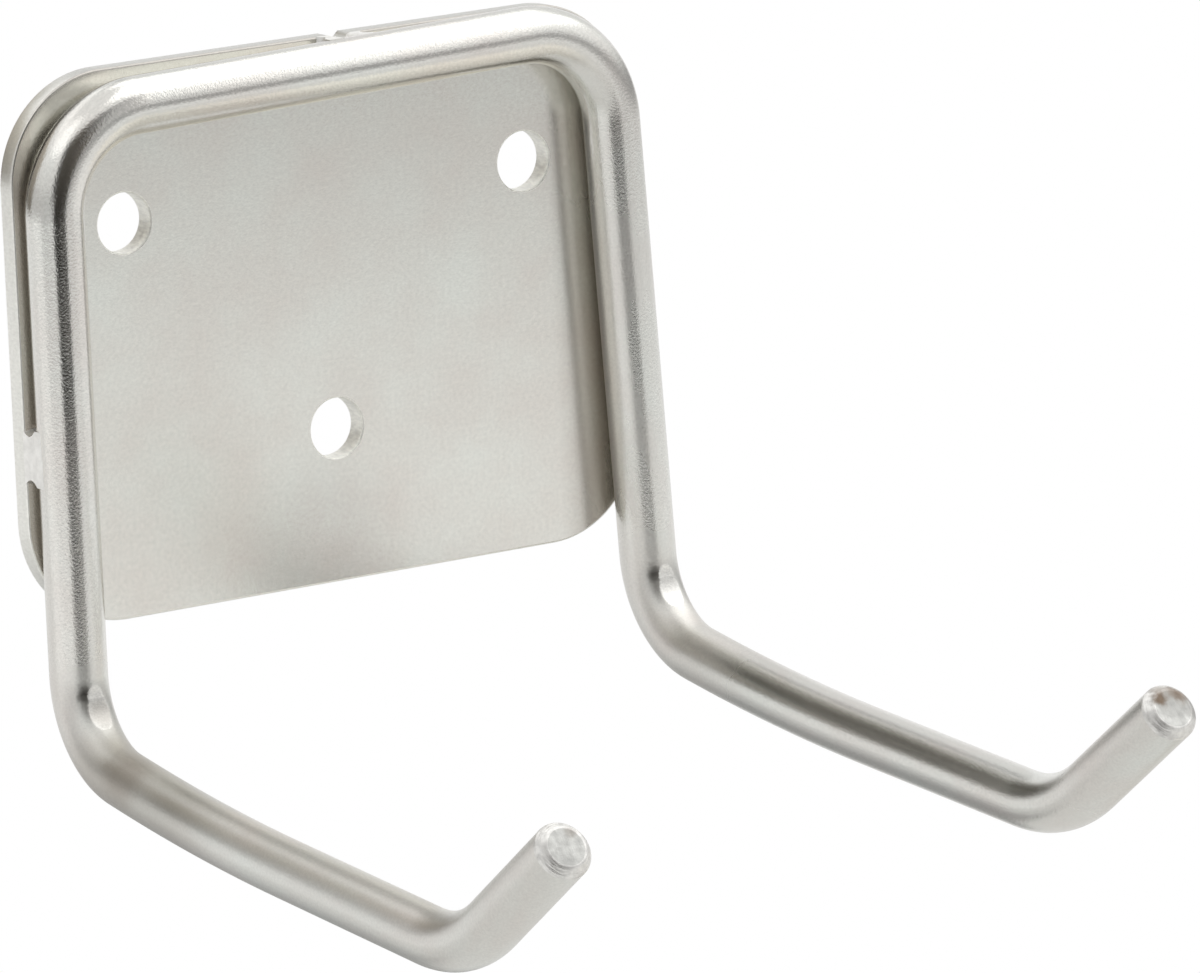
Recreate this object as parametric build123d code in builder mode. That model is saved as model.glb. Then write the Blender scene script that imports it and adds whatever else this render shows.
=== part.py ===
from build123d import *
import os
from math import cos, radians, tan

# Wall hanger for an immersion blender: a flat plate that screws to the wall, and one round rod bent
# into a frame, two arms and two upturned tips, held to the plate's front by three ground welds.
# Millimetres and degrees, +Z up, the wall at y = 0 and the arms reaching forward along -Y.
# The origin is the middle of the plate's back face.

# Plate
plate_width = 100.0
plate_height = 76.0
plate_thickness = 3.0
plate_corner_radius = 15.0
plate_edge_break = 0.3

# Screw holes
hole_diameter = 8.4
hole_edge_break = 0.25
top_hole_spacing = 65.0
top_hole_drop = 21.5
lower_hole_rise = 21.5

# Rod: its bar lies level with the plate's top edge, its legs run down past the plate's bottom edge,
# and the whole frame stands turned a little on the plate, as it was welded
rod_diameter = 8.0
rod_tilt = 1.5
leg_setback = 1.0
leg_splay = 1.4
leg_drop = 15.0
corner_bend_radius = 14.0
lower_bend_radius = 13.0

# Arms: they slope down from the legs, bow towards level and end in the upturned tips
arm_rear_run = 32.0
arm_front_run = 63.0
arm_droop = 10.0
arm_bow = 5.4
arm_toe = 0.5
bow_fill = 0.95
tip_bend_radius = 23.5
tip_run = 31.7
tip_rise = 36.0
end_bevel = 1.1

# Marks that the bending pin left on the inside of the lower bends
pin_radius = 5.0
pin_mark_depth = 0.32
pin_mark_turn = 30.0

# Welds: beads with hollow ends, ground flush with the plate's edges, and a nick from the grinder
weld_length = 7.8
weld_reach = 3.4
weld_root = 1.0
weld_end_hollow = 0.9
top_weld_shift = 3.2
leg_weld_rise = 24.7
nick_radius = 1.7
nick_depth = 1.05

# Places worked out from the sizes above
rod_radius = rod_diameter / 2
front_face_y = -plate_thickness
side_edge_x = plate_width / 2
top_edge_z = plate_height / 2
bottom_edge_z = -plate_height / 2
bar_rise = top_edge_z - rod_radius
leg_weld_z = bottom_edge_z + leg_weld_rise
lower_turn = 90 - arm_droop
tip_turn = arm_droop - arm_bow + tip_rise

# The rod's own plane, with x to the right, y up and z forward
tilted_right = Vector(1, 0, 0).rotate(Axis.Y, -rod_tilt)
rod_plane = Plane((0, front_face_y - rod_radius, 0), x_dir=tilted_right, z_dir=(0, -1, 0))
rod_mirror = Plane(rod_plane.origin, z_dir=tilted_right)

os.makedirs("parts", exist_ok=True)


def arm_way(droop):
    """Direction of the right arm, in the rod's plane, where it slopes down by this angle."""
    return Vector(0, 0, 1).rotate(Axis.X, droop).rotate(Axis.Y, arm_toe)


def bend_reach(radius, turn):
    """Length that a bend takes off each of the two runs that it joins."""
    return radius * tan(radians(turn / 2))


# Corners of the rod's axis, from the middle of its bar to the end of the right tip
bar_middle = Vector(0, bar_rise, 0)
bar_corner = Vector(side_edge_x - rod_radius - leg_setback, bar_rise, 0)
leg_run = (bar_rise - bottom_edge_z + leg_drop) / cos(radians(leg_splay))
leg_corner = bar_corner + Vector(0, -1, 0).rotate(Axis.Z, leg_splay) * leg_run
bow_corner = leg_corner + arm_way(arm_droop) * arm_rear_run
tip_corner = bow_corner + arm_way(arm_droop - arm_bow) * arm_front_run
tip_end = tip_corner + arm_way(-tip_rise) * tip_run
axis_corners = (bar_middle, bar_corner, leg_corner, bow_corner, tip_corner, tip_end)

# The bow takes nearly all of the shorter run that the bends at the arm's ends leave straight
rear_straight = arm_rear_run - bend_reach(lower_bend_radius, lower_turn)
front_straight = arm_front_run - bend_reach(tip_bend_radius, tip_turn)
bow_radius = bow_fill * min(rear_straight, front_straight) / tan(radians(arm_bow / 2))
bend_radii = (corner_bend_radius, lower_bend_radius, bow_radius, tip_bend_radius)


def pin_plane(bend, turn):
    """Plane across the pin that pressed into the inside of the lower bend, this far into its turn."""
    share = turn / lower_turn
    touch = bend @ share
    inward = (bend.arc_center - touch).normalized()
    pin_centre = touch + inward * (rod_radius - pin_mark_depth + pin_radius)
    return Plane(pin_centre, z_dir=inward.cross(bend % share))


# Rod: the right half is swept, bevelled at its end and marked in its lower bend, and then mirrored
with BuildPart() as hanger_rod:
    with BuildLine() as rod_axis:
        FilletPolyline(*[rod_plane.from_local_coords(corner) for corner in axis_corners], radius=bend_radii)
    rod_path = rod_axis.wire()
    with BuildSketch(Plane(rod_path @ 0, z_dir=rod_path % 0)) as rod_section:
        Circle(rod_radius)
    sweep(path=rod_path)
    tip_face = hanger_rod.faces().filter_by(GeomType.PLANE).sort_by(Axis.Y)[0]
    chamfer(tip_face.edges(), end_bevel)
    lower_bend = rod_axis.edges().filter_by(GeomType.CIRCLE).sort_by(rod_path)[1]
    with BuildSketch(pin_plane(lower_bend, pin_mark_turn)) as pin_section:
        Circle(pin_radius)
    extrude(amount=rod_radius, both=True, mode=Mode.SUBTRACT)
    mirror(about=rod_mirror)

# Nick: the shallow scoop that the grinder cut through the plate's top edge and the top weld
nick_centre = Vector(top_weld_shift, 0, top_edge_z - nick_depth + nick_radius)

with BuildPart() as grinder_nick:
    with BuildSketch(Plane(nick_centre, z_dir=(0, -1, 0))) as nick_section:
        Circle(nick_radius)
    extrude(amount=plate_thickness + weld_reach)

# Plate: rounded corners, broken edges and three screw holes with bevelled front rims
with BuildPart() as back_plate:
    with BuildSketch(Plane.XZ) as plate_outline:
        RectangleRounded(plate_width, plate_height, plate_corner_radius)
    extrude(amount=plate_thickness)
    chamfer(back_plate.faces().filter_by(Axis.Y).edges(), plate_edge_break)
    with BuildSketch(Plane.XZ) as hole_pattern:
        with Locations((0, top_edge_z - top_hole_drop)):
            with GridLocations(top_hole_spacing, top_hole_spacing, 2, 1):
                Circle(hole_diameter / 2)
        with Locations((0, bottom_edge_z + lower_hole_rise)):
            Circle(hole_diameter / 2)
    extrude(amount=plate_thickness, mode=Mode.SUBTRACT)
    hole_rims = back_plate.faces().sort_by(Axis.Y)[0].inner_wires().edges()
    chamfer(hole_rims, hole_edge_break)
    add(grinder_nick.part, mode=Mode.SUBTRACT)


def leg_axis_x(side):
    """Where a leg's axis stands across the plate, at the height of its weld."""
    top = rod_plane.from_local_coords(Vector(side * bar_corner.X, bar_corner.Y, 0))
    foot = rod_plane.from_local_coords(Vector(side * leg_corner.X, leg_corner.Y, 0))
    return top.X + (foot.X - top.X) * (top.Z - leg_weld_z) / (top.Z - foot.Z)


def leg_weld(side):
    """Ground face of the bead on a plate's side edge, and its depth towards the groove's root."""
    edge_point = Vector(side * side_edge_x, front_face_y, leg_weld_z)
    ground_face = Plane(edge_point, x_dir=(0, 0, side), z_dir=(side, 0, 0))
    return ground_face, side_edge_x - side * leg_axis_x(side) - weld_root


def top_weld():
    """Ground face of the bead on the plate's top edge, and its depth towards the groove's root."""
    edge_point = Vector(top_weld_shift, front_face_y, top_edge_z)
    ground_face = Plane(edge_point, x_dir=(-1, 0, 0), z_dir=(0, 0, 1))
    bar_axis_z = bar_rise / cos(radians(rod_tilt)) + top_weld_shift * tan(radians(rod_tilt))
    return ground_face, top_edge_z - bar_axis_z - weld_root


# Welds: each fills its groove from the ground face down, between the plate's edge and the rod
bead_end = weld_length / 2
bead_hollow = bead_end - weld_end_hollow
plate_side = -plate_edge_break
rod_side = weld_reach
bead_middle = weld_reach / 2
welds = {"weld_top": top_weld(), "weld_left": leg_weld(-1), "weld_right": leg_weld(1)}

for name, (ground_face, bead_depth) in welds.items():
    with BuildPart() as weld:
        with BuildSketch(ground_face) as bead_face:
            with BuildLine() as bead_outline:
                Line((-bead_end, plate_side), (bead_end, plate_side))
                Line((-bead_end, rod_side), (bead_end, rod_side))
                for end in (-1, 1):
                    hollow = (end * bead_hollow, bead_middle)
                    ThreePointArc((end * bead_end, plate_side), hollow, (end * bead_end, rod_side))
            make_face()
        extrude(amount=-bead_depth)
        add(grinder_nick.part, mode=Mode.SUBTRACT)
        add(back_plate.part, mode=Mode.SUBTRACT)
        add(hanger_rod.part, mode=Mode.SUBTRACT)
    weld.part.label = name
    export_step(weld.part, f"parts/{name}.step")

back_plate.part.label = "back_plate"
hanger_rod.part.label = "hanger_rod"
export_step(back_plate.part, "parts/back_plate.step")
export_step(hanger_rod.part, "parts/hanger_rod.step")
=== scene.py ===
from functools import reduce
from math import acos, atan2, copysign, cos, pi, radians, sin, tan

import bmesh
import bpy
from bpy.props import FloatProperty, FloatVectorProperty, IntProperty, PointerProperty
from bpy.types import Operator, Panel, PropertyGroup
from mathutils import Matrix, Vector


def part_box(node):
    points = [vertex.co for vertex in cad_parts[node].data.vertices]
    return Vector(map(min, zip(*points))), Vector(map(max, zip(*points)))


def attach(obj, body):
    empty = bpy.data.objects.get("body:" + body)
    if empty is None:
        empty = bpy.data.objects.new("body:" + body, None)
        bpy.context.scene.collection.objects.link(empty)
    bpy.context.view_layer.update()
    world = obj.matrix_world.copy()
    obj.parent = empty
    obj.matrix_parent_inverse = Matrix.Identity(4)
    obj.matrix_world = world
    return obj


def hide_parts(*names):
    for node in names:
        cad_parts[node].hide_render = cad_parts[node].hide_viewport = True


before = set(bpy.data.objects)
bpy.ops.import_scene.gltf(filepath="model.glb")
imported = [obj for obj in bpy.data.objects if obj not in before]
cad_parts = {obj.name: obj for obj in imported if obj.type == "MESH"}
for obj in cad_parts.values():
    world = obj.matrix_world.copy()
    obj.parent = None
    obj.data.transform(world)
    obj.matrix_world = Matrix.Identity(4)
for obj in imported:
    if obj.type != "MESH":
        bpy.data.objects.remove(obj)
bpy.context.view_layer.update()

bl_info = {
    "name": "Blender wall hanger",
    "version": (1, 0, 0),
    "blender": (4, 5, 0),
    "location": "View3D > Sidebar > Hanger",
    "description": "Bent rod hanger welded to a screw-on plate, in satin steel, on a white studio stage",
    "category": "Mesh",
}

# The plate's box, its corners and faces, in metres, straight from the frame
PLATE_LOW, PLATE_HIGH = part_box("back_plate")
PLATE_FRONT = PLATE_LOW.y
PLATE_BACK = PLATE_HIGH.y
PLATE_TOP = PLATE_HIGH.z
PLATE_BOTTOM = PLATE_LOW.z
PLATE_SIDE = PLATE_HIGH.x

# Points that are closer than this are one
MERGE_DISTANCE = 1e-6


def a_length(name, description, default):
    """Setting that holds a length in metres."""
    return FloatProperty(name=name, description=description, default=default, unit="LENGTH")


def an_angle(name, description, degrees):
    """Setting that holds an angle, with its default in degrees."""
    return FloatProperty(name=name, description=description, default=radians(degrees), subtype="ANGLE")


def a_share(name, description, default):
    """Setting that holds a share between 0 and 1."""
    return FloatProperty(name=name, description=description, default=default, subtype="FACTOR")


def a_colour(name, description, default):
    """Setting that holds a colour."""
    return FloatVectorProperty(name=name, description=description, default=default, subtype="COLOR")


class HangerRodSettings(PropertyGroup):
    """Sizes of the bent rod."""

    diameter: a_length("Diameter", "Thickness of the round bar", 0.008)
    tilt: an_angle("Tilt", "Turn of the whole frame on the plate, its right side up", 1.5)
    leg_setback: a_length("Leg setback", "How far the legs' tops stand inside the plate's sides", 0.001)
    leg_splay: an_angle("Leg splay", "How much each leg leans outwards on its way down", 1.4)
    leg_drop: a_length("Leg drop", "Reach of the legs below the plate's bottom edge", 0.015)
    corner_bend: a_length("Corner bend", "Bend radius between bar and leg", 0.014)
    lower_bend: a_length("Lower bend", "Bend radius between leg and arm", 0.013)
    arm_rear_run: a_length("Rear run", "Arm length from the leg's corner to its bow", 0.032)
    arm_front_run: a_length("Front run", "Arm length from its bow to the tip's corner", 0.063)
    arm_droop: an_angle("Droop", "Downward slope of the arm next to the leg", 10)
    arm_bow: an_angle("Bow", "How much the arm bows back towards level", 5.4)
    arm_toe: an_angle("Toe", "How much each arm points outwards", 0.5)
    bow_fill: a_share("Bow fill", "Share of the shorter straight run that the bow takes", 0.95)
    tip_bend: a_length("Tip bend", "Bend radius between arm and tip", 0.0235)
    tip_run: a_length("Tip run", "Length of the upturned tip from its corner", 0.0317)
    tip_rise: an_angle("Tip rise", "Upward slope of the tip", 36)
    end_bevel: a_length("End bevel", "Width of the bevel round each end face", 0.0011)
    end_round: a_length("End rounding", "Radius on the bevel's two worn edges", 0.0007)
    pin_radius: a_length("Pin radius", "Radius of the pin that the lower bends were formed on", 0.005)
    pin_depth: a_length("Pin mark depth", "Depth of the pin's mark inside each lower bend", 0.00032)
    pin_turn: an_angle("Pin mark place", "Where the pin's mark sits in the lower bend's turn", 30)
    nip_radius: a_length(
        "Nip radius", "Radius of the clamp's lip that nipped the bend above the pin", 0.0043)
    nip_depth: a_length("Nip depth", "Depth of the nip", 0.00018)
    nip_turn: an_angle("Nip place", "Where the nip sits in the lower bend's turn", 17)
    ring_sides: IntProperty(name="Ring sides", description="Faces round the rod", default=192)


class WallPlateSettings(PropertyGroup):
    """Sizes of the plate, its screw holes and its welds."""

    corner_radius: a_length("Corner radius", "Radius of the plate's corners", 0.015)
    edge_break: a_length("Edge break", "Rounding along the plate's edges", 0.0003)
    hole_diameter: a_length("Hole diameter", "Bore of the screw holes", 0.0084)
    hole_break: a_length("Hole break", "Rounding of the holes' front rims", 0.00025)
    top_spacing: a_length("Top spacing", "Distance between the two upper holes", 0.065)
    top_drop: a_length("Top drop", "Upper holes below the top edge", 0.0215)
    lower_rise: a_length("Lower rise", "Lower hole above the bottom edge", 0.0215)
    nick_place: a_length("Nick place", "Where the grinder's nick sits along the top edge", 0.0032)
    nick_radius: a_length("Nick radius", "Radius of the grinder's nick", 0.0017)
    nick_depth: a_length("Nick depth", "Depth of the grinder's nick", 0.00105)
    weld_hollow: a_length(
        "Weld hollow", "How far the welds' ends hollow in between plate and rod", 0.0009)
    weld_root: a_length("Weld root", "Depth of the weld metal below its ground face", 0.0025)


class SteelSettings(PropertyGroup):
    """Colours and finish of the steel."""

    plate_colour: a_colour("Plate colour", "Satin plate", (0.73, 0.725, 0.684))
    rod_colour: a_colour("Rod colour", "Satin drawn bar", (0.72, 0.712, 0.682))
    weld_colour: a_colour("Weld colour", "Ground weld metal", (0.84, 0.83, 0.80))
    plate_roughness: a_share("Plate roughness", "Mean roughness of the plate", 0.20)
    rod_roughness: a_share("Rod roughness", "Mean roughness of the rod", 0.22)
    cut_roughness: a_share("Cut roughness", "Mean roughness of the sheared edges", 0.33)
    end_colour: a_colour("End colour", "Sawn ends of the bar", (0.60, 0.60, 0.577))
    bevel_colour: a_colour("Bevel colour", "Filed bevels of the bar", (0.78, 0.77, 0.745))
    end_roughness: a_share("End roughness", "Mean roughness of the sawn ends", 0.50)
    weld_roughness: a_share("Weld roughness", "Mean roughness of the ground welds", 0.42)


class StudioSettings(PropertyGroup):
    """Camera, floor and light of the stage."""

    azimuth: an_angle("Azimuth", "Camera's turn from straight ahead, to the right", -33.696)
    elevation: an_angle("Elevation", "Camera's height above the horizon", 11.543)
    roll: an_angle("Roll", "Camera's lean", 2.383)
    distance: a_length("Distance", "From the camera to the aim point", 1.5)
    aim: FloatVectorProperty(
        name="Aim", description="Point in the middle of the picture", default=(0.0215, -0.0353, -0.0232),
        subtype="TRANSLATION")
    lens: FloatProperty(
        name="Lens", description="Focal length in millimetres", default=330.0, unit="CAMERA")
    sensor: FloatProperty(
        name="Sensor", description="Sensor width in millimetres", default=36.0, unit="CAMERA")
    floor_drop: a_length("Floor drop", "Floor below the plate's middle", 0.35)
    floor_radius: a_length("Floor radius", "Radius of the round floor", 1.0)
    floor_colour: a_colour("Floor colour", "Plain pale floor", (0.71, 0.71, 0.70))
    wall_radius: a_length("Wall radius", "Radius of the round wall behind the floor", 1.15)
    box_radiance: FloatProperty(
        name="Soft box radiance", description="Brightness of the overhead soft box", default=1.4)


def linked_object(name, bm):
    """Turns a finished bmesh into an object of the scene."""
    mesh = bpy.data.meshes.new(name)
    bm.to_mesh(mesh)
    bm.free()
    thing = bpy.data.objects.new(name, mesh)
    bpy.context.scene.collection.objects.link(thing)
    return thing


def new_piece(name, mesh_builder, *settings):
    """Runs a builder on an empty bmesh and links the closed, outward-facing result as a piece."""
    bm = bmesh.new()
    mesh_builder(bm, *settings)
    bmesh.ops.remove_doubles(bm, verts=bm.verts, dist=MERGE_DISTANCE)
    bmesh.ops.recalc_face_normals(bm, faces=bm.faces)
    piece = linked_object(name, bm)
    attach(piece, "root")
    return piece


def vertices_of(geometry):
    """The vertices among what a bmesh operator returned."""
    return [part for part in geometry if isinstance(part, bmesh.types.BMVert)]


def extrude_ring(bm, ring):
    """Extrudes a loop of edges in place and returns the new loop's vertices and edges."""
    made = bmesh.ops.extrude_edge_only(bm, edges=ring)["geom"]
    verts = vertices_of(made)
    fresh = set(verts)
    edges = [part for part in made if isinstance(part, bmesh.types.BMEdge) and fresh.issuperset(part.verts)]
    return verts, edges


def shade_smooth(bm, sharp_angle):
    """Smooth faces, with the edges that turn by more than this angle kept sharp."""
    for face in bm.faces:
        face.smooth = True
    for edge in bm.edges:
        edge.smooth = edge.calc_face_angle(0) < sharp_angle


# Rod

# About the largest turn and length of a step round a bend, and steps over each edge of a bevel
STEP_TURN = radians(1.2)
STEP_LENGTH = 0.0015
BEVEL_STEPS = 5

# Edges of the rod that turn by more than this stay sharp
ROD_SHARP = radians(25)

# Places of the rod's four finishes among its materials
SKIN, SAWN, RUBBED, FILED = range(4)


def arm_way(rod, droop):
    """Direction of the right arm where it slopes down by this angle, before the frame's tilt."""
    return Vector((cos(droop) * sin(rod.arm_toe), -cos(droop) * cos(rod.arm_toe), -sin(droop)))


def rod_corners(rod):
    """Corners of the rod's axis from the middle of its bar to its right end, with each bend's radius."""
    rod_radius = rod.diameter / 2
    bar_middle = Vector((0, PLATE_FRONT - rod_radius, PLATE_TOP - rod_radius))
    bar_corner = bar_middle + Vector((PLATE_SIDE - rod_radius - rod.leg_setback, 0, 0))
    leg_run = (bar_middle.z - PLATE_BOTTOM + rod.leg_drop) / cos(rod.leg_splay)
    leg_corner = bar_corner + Vector((sin(rod.leg_splay), 0, -cos(rod.leg_splay))) * leg_run
    bow_corner = leg_corner + arm_way(rod, rod.arm_droop) * rod.arm_rear_run
    tip_corner = bow_corner + arm_way(rod, rod.arm_droop - rod.arm_bow) * rod.arm_front_run
    tip_end = tip_corner + arm_way(rod, -rod.tip_rise) * rod.tip_run
    lower_turn = pi / 2 - rod.arm_droop
    tip_turn = rod.arm_droop - rod.arm_bow + rod.tip_rise
    rear_straight = rod.arm_rear_run - rod.lower_bend * tan(lower_turn / 2)
    front_straight = rod.arm_front_run - rod.tip_bend * tan(tip_turn / 2)
    bow_bend = rod.bow_fill * min(rear_straight, front_straight) / tan(rod.arm_bow / 2)
    corners = [bar_middle, bar_corner, leg_corner, bow_corner, tip_corner, tip_end]
    return corners, [rod.corner_bend, rod.lower_bend, bow_bend, rod.tip_bend]


def tilt_turn(rod):
    """Turn of the rod's frame on the plate."""
    return Matrix.Rotation(-rod.tilt, 3, "Y")


def push_ring(bm, ring, grain, length):
    """Extrudes the rod's open end in place; the new ring lies this much further along the bar."""
    verts, edges = extrude_ring(bm, ring)
    for vert in verts:
        vert[grain].z += length
    return verts, edges


def run_straight(bm, ring, grain, way, length):
    """Carries the open end straight ahead."""
    verts, edges = push_ring(bm, ring, grain, length)
    bmesh.ops.translate(bm, verts=verts, vec=way * length)
    return edges


def run_bend(bm, ring, grain, centre, axis, turn, radius):
    """Carries the open end round a bend in small steps."""
    steps = max(round(turn / STEP_TURN), round(radius * turn / STEP_LENGTH))
    small_turn = Matrix.Rotation(turn / steps, 3, axis)
    for _ in range(steps):
        verts, ring = push_ring(bm, ring, grain, radius * turn / steps)
        bmesh.ops.rotate(bm, verts=verts, cent=centre, matrix=small_turn)
    return ring


def bevel_moves(rod):
    """Headings and lengths, from straight ahead to straight inwards, of the steps round a bar's end."""
    turn = pi / 4
    small_turn = turn / BEVEL_STEPS
    headings = [(step + 0.5) * small_turn for step in range(BEVEL_STEPS)]
    chord = 2 * rod.end_round * sin(small_turn / 2)
    flat = rod.end_bevel / cos(turn) - 2 * worn_reach(rod)
    worn = [(heading, chord) for heading in headings]
    filed = [(turn + heading, chord) for heading in headings]
    return [*worn, (turn, flat), *filed, (pi / 2, rod.end_bevel / 2)]


def worn_reach(rod):
    """How far the rounding of a bevel's edge reaches to either side of it."""
    return rod.end_round * tan(pi / 8)


def run_bevel(bm, ring, grain, way, rod):
    """Narrows the open end to the end face in small steps and closes it."""
    radius = rod.diameter / 2
    for heading, length in bevel_moves(rod):
        verts, ring = push_ring(bm, ring, grain, length * cos(heading))
        bmesh.ops.translate(bm, verts=verts, vec=way * length * cos(heading))
        middle = sum((vert.co for vert in verts), Vector()) / len(verts)
        shrink = 1 - length * sin(heading) / radius
        radius *= shrink
        bmesh.ops.scale(bm, verts=verts, vec=Vector((1, 1, 1)) * shrink, space=Matrix.Translation(-middle))
        for vert in verts:
            vert[grain].xy *= shrink
    bmesh.ops.holes_fill(bm, edges=ring, sides=0)


def press_pin(bm, pin_centre, axis, pin_radius):
    """Pushes the rod's skin out of the way of a pin, which leaves a shallow saddle of its own finish."""
    for vert in bm.verts:
        away = vert.co - pin_centre
        away -= axis * away.dot(axis)
        if away.length < pin_radius:
            vert.co += away.normalized() * (pin_radius - away.length)
            for face in vert.link_faces:
                face.material_index = RUBBED


def build_rod(bm, rod):
    """Bends the right half of the rod from a ring, bevels its end, marks its bend and mirrors it."""
    grain = bm.verts.layers.float_vector.new("bar_grain")
    rod_radius = rod.diameter / 2
    corners, radii = rod_corners(rod)
    bmesh.ops.create_circle(bm, segments=rod.ring_sides, radius=rod_radius)
    for vert in bm.verts:
        vert[grain] = vert.co
    facing = Matrix.Rotation(pi / 2, 4, "Y")
    bmesh.ops.transform(bm, matrix=Matrix.Translation(corners[0]) @ facing, verts=bm.verts)
    ring = bm.edges[:]
    presses = []
    place = corners[0]
    for index, radius in enumerate(radii):
        corner = corners[index + 1]
        way_in = (corner - corners[index]).normalized()
        way_out = (corners[index + 2] - corner).normalized()
        turn = way_in.angle(way_out)
        axis = way_in.cross(way_out).normalized()
        start = corner - way_in * radius * tan(turn / 2)
        centre = start + axis.cross(way_in) * radius
        ring = run_straight(bm, ring, grain, way_in, (start - place).length)
        ring = run_bend(bm, ring, grain, centre, axis, turn, radius)
        place = corner + way_out * radius * tan(turn / 2)
        if radius == rod.lower_bend:
            pin = rod.pin_turn, rod.pin_depth, rod.pin_radius
            nip = rod.nip_turn, rod.nip_depth, rod.nip_radius
            for pin_turn, depth, pin_radius in (pin, nip):
                touch = Matrix.Rotation(pin_turn, 3, axis) @ (start - centre)
                reach = radius - rod_radius + depth - pin_radius
                presses.append((centre + touch.normalized() * reach, axis, pin_radius))
    end_way = (corners[-1] - corners[-2]).normalized()
    plain_run = (corners[-1] - place).length - rod.end_bevel - worn_reach(rod)
    ring = run_straight(bm, ring, grain, end_way, plain_run)
    bevel_start = ring[0].verts[0][grain].z - MERGE_DISTANCE
    run_bevel(bm, ring, grain, end_way, rod)
    end_start = max(vert[grain].z for vert in bm.verts) - MERGE_DISTANCE
    for face in bm.faces:
        nearest = min(vert[grain].z for vert in face.verts)
        face.material_index = SAWN if nearest > end_start else FILED if nearest > bevel_start else SKIN
    for press in presses:
        press_pin(bm, *press)
    whole = bm.verts[:] + bm.edges[:] + bm.faces[:]
    bmesh.ops.mirror(bm, geom=whole, matrix=Matrix.Identity(4), merge_dist=MERGE_DISTANCE, axis="X")
    for vert in bm.verts:
        if vert.co.x < 0:
            vert[grain].z *= -1
    bmesh.ops.rotate(bm, verts=bm.verts, cent=(0, 0, 0), matrix=tilt_turn(rod))
    shade_smooth(bm, ROD_SHARP)


# Plate

# Sides of a screw hole, steps over its rim, round a corner and over an edge, and cuts along the top edge
HOLE_SIDES = 96
RIM_STEPS = 4
CORNER_STEPS = 32
EDGE_STEPS = 4
TOP_CUTS = 400

# Places of the plate's three finishes among its materials
SHEET, SHEARED, PUNCHED = range(3)


def cut_nick(bm, plate):
    """Lowers what stands in the grinder's way to the floor of its nick."""
    floor_z = PLATE_TOP - plate.nick_depth
    for vert in bm.verts:
        across = vert.co.x - plate.nick_place
        if vert.co.z > floor_z and abs(across) < plate.nick_radius:
            rise = plate.nick_radius - (plate.nick_radius ** 2 - across ** 2) ** 0.5
            vert.co.z = min(vert.co.z, floor_z + rise)


def plate_hole(bm, plate, place):
    """Wall of one screw hole with a rounded front rim; returns its front and back loops of edges."""
    radius = plate.hole_diameter / 2
    standing = Matrix.Translation(place) @ Matrix.Rotation(pi / 2, 4, "X")
    made = bmesh.ops.create_circle(
        bm, segments=HOLE_SIDES, radius=radius + plate.hole_break, matrix=standing)
    ring = list({edge for vert in made["verts"] for edge in vert.link_edges})
    front = ring
    for step in range(1, RIM_STEPS + 1):
        verts, ring = extrude_ring(bm, ring)
        turn = pi / 2 * step / RIM_STEPS
        depth = plate.hole_break * (1 - cos(turn))
        wide = radius + plate.hole_break * (1 - sin(turn))
        for vert in verts:
            across = Vector((vert.co.x - place.x, 0, vert.co.z - place.z)).normalized()
            vert.co = Vector((place.x, place.y + depth, place.z)) + across * wide
    verts, ring = extrude_ring(bm, ring)
    for vert in verts:
        vert.co.y = PLATE_BACK
    return front, ring


def build_plate(bm, plate):
    """Rounds the corners of a flat face, gives it its thickness and edges, and opens the screw holes."""
    size = PLATE_HIGH - PLATE_LOW
    middle = (PLATE_HIGH + PLATE_LOW) / 2
    flat = Matrix.Diagonal((size.x, size.z, 1, 1))
    standing = Matrix.Translation((middle.x, PLATE_BACK, middle.z)) @ Matrix.Rotation(pi / 2, 4, "X")
    bmesh.ops.create_grid(bm, x_segments=1, y_segments=1, size=0.5, matrix=standing @ flat)
    bmesh.ops.bevel(
        bm, geom=bm.verts[:], offset=plate.corner_radius, segments=CORNER_STEPS, profile=0.5,
        affect="VERTICES", material=-1)
    made = bmesh.ops.extrude_face_region(bm, geom=bm.faces[:])["geom"]
    bmesh.ops.translate(bm, verts=vertices_of(made), vec=(0, -size.y, 0))
    rims = [edge for edge in bm.edges if abs(edge.verts[0].co.y - edge.verts[1].co.y) < MERGE_DISTANCE]
    bmesh.ops.bevel(
        bm, geom=rims, offset=plate.edge_break, segments=EDGE_STEPS, profile=0.5, affect="EDGES",
        material=-1)
    along_top = [
        edge for edge in bm.edges
        if min(vert.co.z for vert in edge.verts) > PLATE_TOP - plate.nick_depth
        and edge.calc_length() > size.x / 2]
    bmesh.ops.subdivide_edges(bm, edges=along_top, cuts=TOP_CUTS, use_grid_fill=True)
    cut_nick(bm, plate)
    broad = [face for face in bm.faces if face.calc_area() > size.x * size.z / 2]
    front_face, back_face = sorted(broad, key=lambda face: face.calc_center_median().y)
    front_loops = list(front_face.edges)
    back_loops = list(back_face.edges)
    bmesh.ops.delete(bm, geom=broad, context="FACES_ONLY")
    half = plate.top_spacing / 2
    top_z = PLATE_TOP - plate.top_drop
    for x, z in ((-half, top_z), (half, top_z), (middle.x, PLATE_BOTTOM + plate.lower_rise)):
        front_ring, back_ring = plate_hole(bm, plate, Vector((x, PLATE_FRONT, z)))
        front_loops += front_ring
        back_loops += back_ring
    for face in bm.faces:
        face.smooth = True
        centre = face.calc_center_median()
        inside = abs(centre.x) < half + plate.hole_diameter and abs(centre.z) < top_z + plate.hole_diameter
        face.material_index = PUNCHED if inside else SHEARED
    for loops in (front_loops, back_loops):
        made = bmesh.ops.triangle_fill(bm, use_beauty=True, use_dissolve=False, edges=loops)["geom"]
        for part in made:
            if isinstance(part, bmesh.types.BMFace):
                part.smooth = False
                part.material_index = SHEET


# Welds

# Edges of a bead that turn by more than this stay sharp, and cuts along them
WELD_SHARP = radians(40)
WELD_CUTS = 23

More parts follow.
